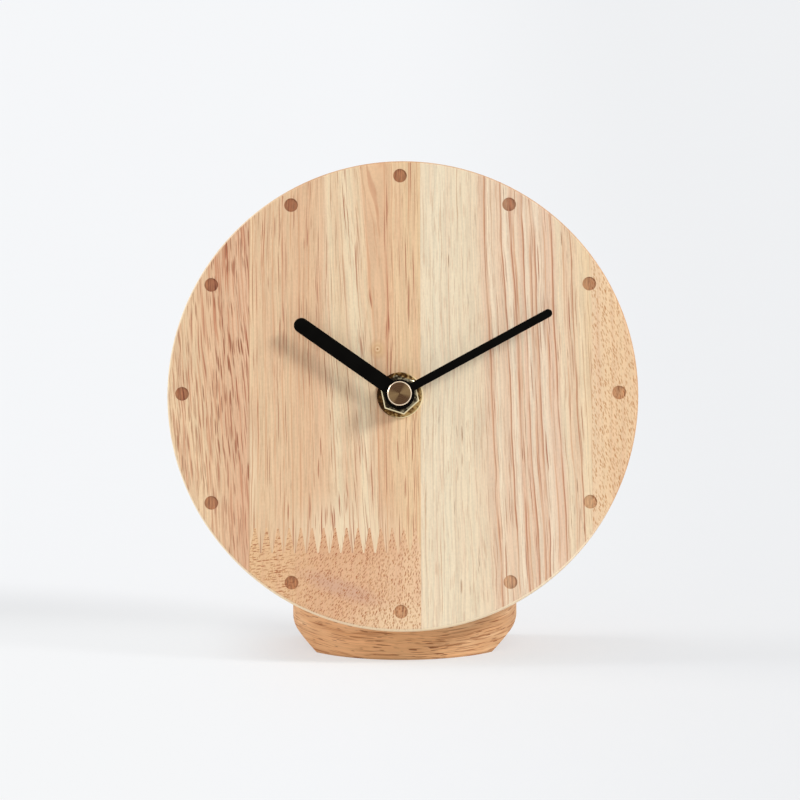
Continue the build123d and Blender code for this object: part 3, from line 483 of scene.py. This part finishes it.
def lower_block():
    tones = [(-50, colour(228, 188, 142)), (-38, colour(226, 184, 140)), (-26, colour(220, 174, 134)),
             (-12, colour(224, 180, 140)), (0, colour(230, 191, 151)), (6, colour(233, 197, 158))]
    at_middle = [(-75, 0.0), (-36, 0.2), (-30, 1.0), (-12, 1.0), (-5, 0.0)]
    at_left = [(-75, 1.0), (-38, 1.0), (-33, 0.0), (6, 0.0)]
    at_right = [(-75, 0.0), (-16, 0.0), (-8, 1.0), (6, 1.0)]
    marks = [
        (flecks, WARM_BROWN, 1.0, dict(gap=0.92, width=0.4, length=1.1, lean=0.6, where=at_middle)),
        (flecks, WARM_BROWN, 1.0, dict(gap=1.3, width=0.46, length=2.0, lean=1.45, where=at_left)),
        (flecks, WARM_BROWN, 1.0, dict(gap=0.95, width=0.4, length=1.2, lean=0.12, where=at_right)),
        (flecks, ORANGE_BROWN, 0.9, dict(gap=0.85, width=0.36, length=0.8, lean=0.4)),
    ]
    spots = [
        (-14.0, -47.0, 26.0, 8.0, 0.0, colour(213, 163, 124), 0.5),
        (-19.4, -61.5, 18.0, 4.5, 0.36, colour(203, 160, 136), 0.65),
        (2.0, -72.0, 26.0, 9.0, 0.0, colour(236, 206, 166), 0.7),
    ]
    return stave("stave_wood_flecked", tones, [(-50, 0.0), (6, 0.0)], marks, spots,
                 [(left_line, 0.3), (middle_line, 0.1)], sway=0.3, hair_share=0.3)


def pale_stave():
    tones = [(5, colour(233, 213, 181)), (12, colour(234, 217, 186)), (20, colour(233, 214, 182)),
             (25, colour(232, 210, 178)), (27.5, colour(228, 198, 167)), (29.2, colour(224, 191, 159)),
             (30, colour(238, 219, 189)), (31.5, colour(231, 205, 174)), (34, colour(229, 200, 169)),
             (36, colour(237, 216, 187)), (37.6, colour(226, 191, 160)), (39, colour(233, 208, 177)),
             (40, colour(226, 191, 161)), (41.5, colour(235, 213, 184)), (43.7, colour(228, 196, 165)),
             (45, colour(237, 216, 187)), (48, colour(229, 197, 167)), (49.5, colour(229, 197, 167)),
             (51.5, colour(236, 213, 179)), (54, colour(229, 199, 165)), (57, colour(235, 210, 173)),
             (61, colour(234, 205, 164))]
    drift = [(5, 0.01), (20, 0.01), (28, 0.05), (61, 0.05)]
    reddish = [(5, 0.1), (24, 0.2), (28, 0.8), (60, 1.0), (75, 1.0)]
    marks = [
        FAINT,
        (streaks, SOFT_BROWN, 0.7, dict(gap=0.56, width=0.3, length=40.0)),
        (streaks, PINK_BROWN, 0.5, dict(gap=0.8, width=0.38, length=60.0, where=reddish)),
        (lines, LINE_BROWN, 0.6, dict(places=PALE_WIDE_LINES)),
        (lines, RED_BROWN, 0.6, dict(places=PALE_THIN_LINES)),
        (streaks, RED_BROWN, 1.0, dict(gap=0.62, width=0.34, length=16.0, where=reddish)),
        (streaks, BROWN, 0.9, dict(gap=0.9, width=0.34, length=6.0, cover=0.4)),
    ]
    return stave("stave_wood_pale", tones, drift, marks, (), [(middle_line, 0.1), (right_line, 0.08)],
                 blush_share=0.15)


def yellow_stave():
    tones = [(60, colour(235, 203, 165)), (66, colour(237, 203, 161)), (75, colour(236, 201, 159))]
    marks = [
        (flecks, ORANGE_BROWN, 0.9, dict(gap=1.5, width=0.46, length=1.9, lean=-0.3)),
        (flecks, ORANGE_BROWN, 0.7, dict(gap=1.1, width=0.42, length=1.3, lean=-0.25)),
    ]
    return stave("stave_wood_yellow", tones, [(60, 0.0), (76, 0.0)], marks, (), [(right_line, 0.08)],
                 hair_share=0.5)


BEECH_GLOSS = 0.25
BEECH_TONES = [(0.25, colour(198, 147, 101)), (0.5, colour(211, 163, 118)),
               (0.75, colour(223, 181, 137))]
BEECH_WANDER = 5
BEECH_WANDER_SCALES = (0.025, 0.02, 0.05)
BEECH_BEND = 0.0012             # the growth lines sag towards both ends
BEECH_DEEP_SCALE = 0.08
BEECH_PAINTED_LIGHT_MIDDLE = (34.0, 10.0)     # painted light: lighter from here towards the middle, where the board above shades the foot
BEECH_PAINTED_LIGHT_MIDDLE_SHARE = 0.2
BEECH_PAINTED_LIGHT_LEFT = 0.0027       # painted light and shade: lighter to the left and darker to the right, per millimetre
BEECH_PAINTED_CONTACT_SHADOW = (0.8, 0.2)         # painted contact shadow: darker at the very bottom
BEECH_PAINTED_CONTACT_SHADOW_SHARE = 0.3
BEECH_LAYERS = ((0.9, 0.03, 0.24), (2.2, 0.06, 0.36), (3.4, 0.3, 0.2))      # across, along, strength
BEECH_HAIR = colour(166, 108, 64)
BEECH_HAIR_RANGE = (0.58, 0.68)     # noise where the marks start, and where they are full
BEECH_PORE = colour(152, 92, 52)
BEECH_PORE_RANGE = (0.60, 0.67)
BEECH_RAY = colour(126, 72, 40)
BEECH_RAY_RANGE = (0.66, 0.71)


def beech(name):
    """Brown-red wood with level grain and short dark rays. On level faces the grain goes by depth."""
    paint = Paint(name, ior=WOOD_IOR, specular_ior_level=BEECH_GLOSS)
    x, y, z = paint.frame_values((0, 0, 0), 0.0)
    facing_up = abs(paint.parts(paint.node("TexCoord").outputs["Normal"])[2]).ease(0.75, 0.8)
    wander = paint.stretched(x, y, z, BEECH_WANDER_SCALES, 1.0) - 0.5
    level = z + (y - z) * facing_up + wander * BEECH_WANDER - x * x * BEECH_BEND
    deep = (y + (z - y) * facing_up) * BEECH_DEEP_SCALE
    base = paint.bands(paint.noise(paint.place(x * 0.012, deep, level * 0.3)), BEECH_TONES)
    for scale, rise, share in BEECH_LAYERS:
        layer = paint.noise(paint.place(x * rise, deep, level * scale), detail=2.0)
        base = paint.shade(base, 1.0 + (layer - 0.5) * share)
    # Painted light lifts the middle and the left; a painted contact shadow darkens the sole
    middle = abs(x).ease(*BEECH_PAINTED_LIGHT_MIDDLE) * BEECH_PAINTED_LIGHT_MIDDLE_SHARE
    painted_contact_shadow = z.ease(*BEECH_PAINTED_CONTACT_SHADOW) * BEECH_PAINTED_CONTACT_SHADOW_SHARE
    base = paint.shade(base, 1.0 + middle - x * BEECH_PAINTED_LIGHT_LEFT - painted_contact_shadow)
    pores = paint.noise(paint.place(x * 0.10, deep, level * 2.4), detail=1.0).ease(*BEECH_PORE_RANGE)
    hairs = paint.noise(paint.place(x * 0.07 + 9.0, deep, level * 3.0), detail=1.0)
    hairs = hairs.ease(*BEECH_HAIR_RANGE)
    rays = paint.noise(paint.place(x * 0.2 + 5.0, deep * 2.0, level * 2.6), detail=1.0)
    rays = rays.ease(*BEECH_RAY_RANGE)
    base = paint.mix(hairs * 0.65, base, BEECH_HAIR)
    base = paint.mix(pores * 0.75, base, BEECH_PORE)
    base = paint.mix(rays * 0.9, base, BEECH_RAY)
    return paint.finish(base, 0.6 + pores * 0.05, -pores, 0.02)


# Metals
def hub_values(paint):
    """Right and up from the spindle, distance from it, and height above the board's face."""
    right, up, out = paint.frame_values(hub_face, board_tilt)
    return right, up, (right * right + up * up).root(), out


# Bright edge colour of the brass: painted highlight on the nut and washer
BRIGHT_BRASS_EDGE = colour(248, 232, 190)
NUT_FLATS = (-48.0, 12.0, 72.0)     # directions that the nut's flat sides face, in degrees
NUT_REACH = 5.6                     # from the spindle to the flat sides
NUT_EDGE = (NUT_REACH - 0.42, NUT_REACH - 0.24)     # each edge brightens from the first to the second
# painted glint at one corner of the nut, and painted highlight on its edges below a height
NUT_GLINT = (4.35, 4.6, 1.5, 1.5)
NUT_LIT_BELOW = (4.4, 2.2)
WASHER_EDGE = (6.95, 7.15)
THREAD_EDGE = (3.7, 3.8)
CAP_HIGHLIGHT_EDGE = (3.52, 3.62)
SCRATCH_SCALES = (0.4, 9.0, 9.0)


def old_brass(name, bright_edge, tones):
    """Darkened brass with a bright outer edge: a painted highlight on the nut and washer, a bright ring on the
    thread.
    """
    paint = Paint(name, metallic=1.0)
    right, up, reach, out = hub_values(paint)
    # painted light: the brass is lighter to the right and down
    cloud = paint.noise(paint.place(right, up, out), 0.9, 3.0) + (right * 0.022 - up * 0.004)
    base = paint.bands(cloud, tones)
    base = paint.mix(bright_edge(right, up, reach), base, BRIGHT_BRASS_EDGE)
    scratch = paint.stretched(right, up, out, SCRATCH_SCALES, 3.0)
    return paint.finish(base, 0.26 + scratch * 0.15, scratch, 0.004)


def nut_edge(right, up, reach):
    """The rim of the nut's face, with a painted highlight below and a painted glint at one corner above."""
    away = None
    for flat in NUT_FLATS:
        turn = math.radians(flat)
        side = abs(right * math.cos(turn) + up * math.sin(turn))
        away = side if away is None else away.most(side)
    lit = up.ease(*NUT_LIT_BELOW).most(spot(right, up, *NUT_GLINT))
    return away.ease(*NUT_EDGE) * lit


def washer_edge(right, up, reach):
    """The washer's rim, with a painted highlight at the right."""
    lit = (right * 0.14 - up * 0.05).ease(-0.3, 0.7)
    return reach.ease(*WASHER_EDGE) * lit


def thread_edge(right, up, reach):
    return reach.ease(*THREAD_EDGE) * 0.6


def turned_brass(name):
    """Brass with the fine rings that a lathe leaves, a painted highlight in two fans across them, and a painted
    highlight on the cap's rim.
    """
    paint = Paint(name, metallic=1.0)
    right, up, reach, out = hub_values(paint)
    rings = paint.noise(paint.place(reach * 7.0, 0.0, out * 2.0), detail=4.0)
    base = paint.bands(rings, [(0.3, colour(66, 44, 29)), (0.7, colour(114, 86, 61))])
    spin = reach.do("DIVIDE", 1.0, reach.most(0.2))
    # painted highlight: two fans of sheen across the turned rings
    highlight_fan = abs(right * 0.95 + up * 0.3) * spin
    highlight_spokes = paint.noise(paint.place(right * spin * 2.5, up * spin * 2.5, 3.0), detail=3.0)
    base = paint.mix(highlight_fan.ease(0.6, 1.0) * (0.15 + highlight_spokes * 0.6), base, colour(176, 146, 102))
    # painted highlight on the cap's rim
    base = paint.mix(reach.ease(*CAP_HIGHLIGHT_EDGE), base, colour(250, 232, 206))
    return paint.finish(base, 0.3 + rings * 0.1, rings, 0.006)


METAL_GRAIN = 4.0


def plain_metal(name, dark, light):
    """Bare metal between two tones."""
    paint = Paint(name, metallic=1.0)
    x, y, z = paint.frame_values((0, 0, 0), 0.0)
    cloud = paint.noise(paint.place(x, y, z), METAL_GRAIN, 3.0)
    base = paint.bands(cloud, [(0.3, dark), (0.7, light)])
    return paint.finish(base, 0.3 + cloud * 0.2, cloud, 0.004)


# Plastics, lacquer and the rest
PLASTIC_IOR = 1.49
PLASTIC_CLOUD = 0.15
PLASTIC_GRIT = 5.0


def plastic(name, dark, light, rough=0.5, relief=0.02, gloss=0.5):
    """Moulded plastic or lacquer with a fine eroded grain."""
    paint = Paint(name, ior=PLASTIC_IOR, specular_ior_level=gloss)
    x, y, z = paint.frame_values((0, 0, 0), 0.0)
    cloud = paint.noise(paint.place(x, y, z), PLASTIC_CLOUD, 2.0)
    grit = paint.noise(paint.place(x, y, z), PLASTIC_GRIT, 3.0)
    base = paint.bands(cloud, [(0.3, dark), (0.7, light)])
    return paint.finish(base, rough + (grit - 0.5) * 0.2, grit, relief)


SLEEVE_DARK = colour(44, 72, 66)
SLEEVE_PALE = colour(186, 184, 176)
SLEEVE_SPLIT = (0.55, 0.56)         # the pale end starts here, in shares of half the cell's length


def battery_sleeve(name):
    """Foil round the cell, dark green and pale at the positive end."""
    paint = Paint(name)
    right, up, reach, out = hub_values(paint)
    low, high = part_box("battery")
    span = (high.x - low.x) / MM / 2
    grit = paint.noise(paint.place(right, up, out), 3.0, 2.0)
    band = right.ease(*(span * share for share in SLEEVE_SPLIT))
    base = paint.mix(band, SLEEVE_DARK, SLEEVE_PALE)
    base = paint.shade(base, 0.94 + grit * 0.12)
    return paint.finish(base, 0.3 + grit * 0.15, grit, 0.005)


TURNS_PER_MM = 5.0


def winding(name):
    """Copper wire, one turn beside the other, with painted shade in the grooves between turns."""
    paint = Paint(name, metallic=1.0)
    right = hub_values(paint)[0]
    turns = abs(right.do("FRACT", right * TURNS_PER_MM) - 0.5) * 2
    # painted shade: darker where two turns meet
    base = paint.mix(turns, colour(206, 118, 70), colour(120, 58, 30))
    return paint.finish(base, 0.35 + turns * 0.1, 1.0 - turns, 0.05)


TRACK_SCALE = 0.35
TRACK_AWAY = 0.45


def laminate(name):
    """Green circuit board with raised tracks."""
    paint = Paint(name)
    right, up = hub_values(paint)[:2]
    distance = paint.cells(paint.place(right * TRACK_SCALE, up * TRACK_SCALE, 0.0))[0]
    track = abs(distance - TRACK_AWAY).ease(0.1, 0.02)
    base = paint.mix(track * 0.7, colour(30, 84, 58), colour(62, 128, 84))
    return paint.finish(base, 0.45 - track * 0.1, track, 0.03)


GOLD_TONES = [(0.34, colour(52, 32, 16)), (0.5, colour(98, 68, 34)), (0.66, colour(178, 146, 94))]
DARK_TONES = [(0.38, colour(44, 36, 27)), (0.5, colour(80, 70, 52)), (0.62, colour(150, 138, 112))]
WHITE_PLASTIC = (colour(222, 222, 214), colour(232, 232, 226))
BLACK_PLASTIC = (colour(30, 30, 32), colour(38, 38, 40))
materials = {
    "stave_wood_streaked": left_stave(),
    "stave_wood_fine": middle_stave(),
    "stave_wood_flecked": lower_block(),
    "stave_wood_pale": pale_stave(),
    "stave_wood_yellow": yellow_stave(),
    "beech": beech("beech"),
    "dowel_wood": beech("dowel_wood"),
    "black_plastic": plastic("black_plastic", *BLACK_PLASTIC, 0.6, 0.02, 0.3),
    "rubber": plastic("rubber", colour(26, 26, 26), colour(34, 34, 33), 0.8),
    "brass": old_brass("brass", thread_edge, GOLD_TONES),
    "brass_turned": turned_brass("brass_turned"),
    "hand_black": plastic("hand_black", colour(5, 4, 3), colour(9, 8, 6), 0.5, 0.01, 0.03),
    "white_plastic": plastic("white_plastic", *WHITE_PLASTIC),
    "knob_plastic": plastic("knob_plastic", colour(58, 58, 60), colour(66, 66, 68)),
    "steel": plain_metal("steel", colour(176, 176, 174), colour(202, 202, 200)),
    "magnet": plain_metal("magnet", colour(84, 82, 80), colour(104, 102, 98)),
    "stator_steel": plain_metal("stator_steel", colour(150, 150, 150), colour(184, 184, 182)),
    "bobbin_plastic": plastic("bobbin_plastic", colour(206, 196, 168), colour(216, 206, 180)),
    "copper_wire": winding("copper_wire"),
    "board_laminate": laminate("board_laminate"),
    "epoxy": plastic("epoxy", colour(16, 16, 16), colour(22, 22, 22), 0.25),
    "battery_sleeve": battery_sleeve("battery_sleeve"),
    "contact_steel": plain_metal("contact_steel", colour(190, 188, 182), colour(214, 212, 206)),
}

own_materials = {
    "hex_nut": old_brass("brass_nut", nut_edge, DARK_TONES),
    "bush_washer": old_brass("brass_washer", washer_edge, GOLD_TONES),
}

slot_of = {part["node"]: part["material_slot"] for part in frame["record"]["subparts"]}
for name, part in nodes.items():
    for slot in part.material_slots:
        slot.material = own_materials.get(name, materials[slot_of[name]])


# Marks moulded on the back cover: which way the knob turns, and the poles of the cell
MARK_RAISE = 0.2
MARK_SINK = 0.1
RING_RADIUS = 8.3
RING_HALF_WIDTH = 0.25
RING_START = 130.0
RING_END = 400.0
RING_STEPS = 36
ARROW_HALF_WIDTH = 1.1
ARROW_TURN = 14.0
POLE_HALF_LENGTH = 1.6
POLE_HALF_WIDTH = 0.35
POLE_GAP = 2.2


def on_ring(centre, radius, degrees):
    """A point round a centre."""
    turn = math.radians(degrees)
    return centre + Vector((math.cos(turn), math.sin(turn))) * radius


def turning_arrow(centre):
    """An arc with an arrowhead at its end."""
    inner = RING_RADIUS - RING_HALF_WIDTH
    outer = RING_RADIUS + RING_HALF_WIDTH
    turns = [RING_START + (RING_END - RING_START) * step / RING_STEPS for step in range(RING_STEPS + 1)]
    head = [(RING_RADIUS + ARROW_HALF_WIDTH, RING_END), (RING_RADIUS, RING_END + ARROW_TURN),
            (RING_RADIUS - ARROW_HALF_WIDTH, RING_END)]
    points = [on_ring(centre, outer, turn) for turn in turns]
    points += [on_ring(centre, radius, turn) for radius, turn in head]
    return points + [on_ring(centre, inner, turn) for turn in reversed(turns)]


def bar(centre, half_length, half_width):
    """The outline of a bar across the cover. Swapped sizes make it upright."""
    corners = ((-1, -1), (1, -1), (1, 1), (-1, 1))
    return [centre + Vector((x * half_length, y * half_width)) for x, y in corners]


def cover_marks():
    """Raises the marks on the cover, each a thin block that sinks a little into it."""
    knob = next(joint for joint in frame["joints"] if joint["name"] == "setting_knob_spin")
    knob_offset = Vector(knob["pos_m"]) / MM - dial_centre
    knob_place = Vector((knob_offset.x, knob_offset.dot(uphill)))
    cell_low, cell_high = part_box("battery")
    cell_top = max((vertex.co / MM - dial_centre).dot(uphill)
                   for vertex in nodes["battery"].data.vertices)
    pole_height = cell_top + POLE_GAP + POLE_HALF_LENGTH
    plus = Vector((cell_high.x / MM - dial_centre.x - POLE_GAP, pole_height))
    minus = Vector((cell_low.x / MM - dial_centre.x + POLE_GAP, pole_height))
    back = depth_of("movement_cover") - face_depth
    mesh = bmesh.new()
    for outline in (turning_arrow(knob_place), bar(plus, POLE_HALF_LENGTH, POLE_HALF_WIDTH),
                    bar(plus, POLE_HALF_WIDTH, POLE_HALF_LENGTH),
                    bar(minus, POLE_HALF_LENGTH, POLE_HALF_WIDTH)):
        rings = []
        for height in (back + MARK_SINK, back - MARK_RAISE):
            ring = []
            for point in outline:
                place = dial_centre + Vector((point.x, 0, 0)) + uphill * point.y + facing * height
                ring.append(mesh.verts.new(place * MM))
            rings.append(ring)
        mesh.faces.new(rings[0])
        mesh.faces.new(reversed(rings[1]))
        for number, start in enumerate(rings[0]):
            mesh.faces.new((rings[0][number - 1], rings[1][number - 1], rings[1][number], start))
    bmesh.ops.recalc_face_normals(mesh, faces=mesh.faces)
    data = bpy.data.meshes.new("cover_marks")
    mesh.to_mesh(data)
    made = bpy.data.objects.new("cover_marks", data)
    bpy.context.scene.collection.objects.link(made)
    data.materials.append(materials["black_plastic"])
    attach(made, "clock_body")


cover_marks()


# Floor, light and camera
FLOOR_HALF = 40.0
FLOOR_TONE = colour(234, 235, 237)
FLOOR_GLOW = colour(246, 247, 248)
FLOOR_GLOW_SHARE = 0.5
FLOOR_PAINTED_LIGHT_ASIDE = 0.36                         # painted light added left of the foot, to thin its shadow there
FLOOR_PAINTED_LIGHT_X = (-0.03, -0.07)                   # metres, from where it starts to where it is full
FLOOR_PAINTED_LIGHT_Y = (0.09, 0.0)
FLOOR_PAINTED_SHADE = 0.058                              # painted shade: how much darker the floor is at the right
FLOOR_PAINTED_SHADE_X = (-0.05, 0.14)
FLOOR_DUST = 0.01
FLOOR_DUST_SCALE = 40.0
SKY_TONE = colour(244, 245, 247)
SKY_STRENGTH = 0.64
AIM = Vector((-0.98, -22.0, 81.9)) * MM
CAMERA_DISTANCE = 2.0
CAMERA_AZIMUTH = math.radians(0.64)
CAMERA_ELEVATION = math.radians(8.5)
CAMERA_ROLL = math.radians(-0.28)
CAMERA_CLIP_END = 200.0
FOCAL_PIXELS = 6248
FRAME_PIXELS = 800
SENSOR_WIDTH = 36.0
KEY_LAMP = dict(direction=(0.73, -0.36, 0.57), strength=1.9, softness=14.0)
SIDE_LAMP = dict(direction=(-0.9, 0.05, 0.42), strength=1.4, softness=30.0)


def floor():
    """A pale sweep. Part of it glows to the camera, which thins the shadows on it."""
    mesh = bpy.data.meshes.new("floor")
    corners = [(x, y, 0) for x, y in ((-1, -1), (1, -1), (1, 1), (-1, 1))]
    mesh.from_pydata([Vector(corner) * FLOOR_HALF for corner in corners], [], [(0, 1, 2, 3)])
    made = bpy.data.objects.new("floor", mesh)
    bpy.context.scene.collection.objects.link(made)
    paint = Paint("floor", roughness=0.9, specular_ior_level=0.0, emission_color=FLOOR_GLOW)
    place = paint.node("TexCoord").outputs["Object"]
    x, y = paint.parts(place)[:2]
    # painted shade darkens the floor to the right; painted light lightens it left of the foot
    fade = 1.0 - x.ease(*FLOOR_PAINTED_SHADE_X) * FLOOR_PAINTED_SHADE
    aside = x.ease(*FLOOR_PAINTED_LIGHT_X) * y.ease(*FLOOR_PAINTED_LIGHT_Y)
    glow = paint.seen() * (FLOOR_GLOW_SHARE + aside * FLOOR_PAINTED_LIGHT_ASIDE)
    dust = paint.noise(place, FLOOR_DUST_SCALE)
    base = paint.shade(FLOOR_TONE, (1.0 - glow) * fade * (0.995 + (dust - 0.5) * FLOOR_DUST))
    paint.feed(paint.shader.inputs["Emission Strength"], glow * fade)
    mesh.materials.append(paint.finish(base))


def sky():
    """Even studio light, shown as white where it is looked at."""
    world = bpy.data.worlds.new("studio")
    bpy.context.scene.world = world
    world.use_nodes = True
    tree = Tree(world.node_tree)
    light = tree.node("Background", {"Color": SKY_TONE, "Strength": SKY_STRENGTH})
    shown = tree.node("Background", {"Color": SKY_TONE, "Strength": 1.0})
    mixed = tree.node("MixShader", {0: tree.seen(), 1: light.outputs[0], 2: shown.outputs[0]})
    tree.feed(world.node_tree.nodes["World Output"].inputs["Surface"], mixed.outputs[0])


def lamp(name, direction, strength, softness):
    """A far, wide lamp that shines from direction. softness is its width in degrees."""
    light = bpy.data.lights.new(name, "SUN")
    light.energy = strength
    light.angle = math.radians(softness)
    made = bpy.data.objects.new(name, light)
    bpy.context.scene.collection.objects.link(made)
    made.rotation_euler = Vector(direction).to_track_quat("Z", "Y").to_euler()


def camera():
    """Looks at AIM from slightly above, a little to the right."""
    data = bpy.data.cameras.new("camera")
    data.sensor_width = SENSOR_WIDTH
    data.lens = FOCAL_PIXELS / FRAME_PIXELS * SENSOR_WIDTH
    data.clip_end = CAMERA_CLIP_END
    made = bpy.data.objects.new("camera", data)
    bpy.context.scene.collection.objects.link(made)
    level = math.cos(CAMERA_ELEVATION)
    away = Vector((math.sin(CAMERA_AZIMUTH) * level, -math.cos(CAMERA_AZIMUTH) * level,
                   math.sin(CAMERA_ELEVATION)))
    made.location = AIM + away * CAMERA_DISTANCE
    turn = away.to_track_quat("Z", "Y")
    made.rotation_mode = "QUATERNION"
    made.rotation_quaternion = turn @ Quaternion((0, 0, 1), CAMERA_ROLL)
    bpy.context.scene.camera = made


floor()
sky()
lamp("key", **KEY_LAMP)
lamp("side", **SIDE_LAMP)
camera()
bpy.context.scene.view_settings.view_transform = "Standard"
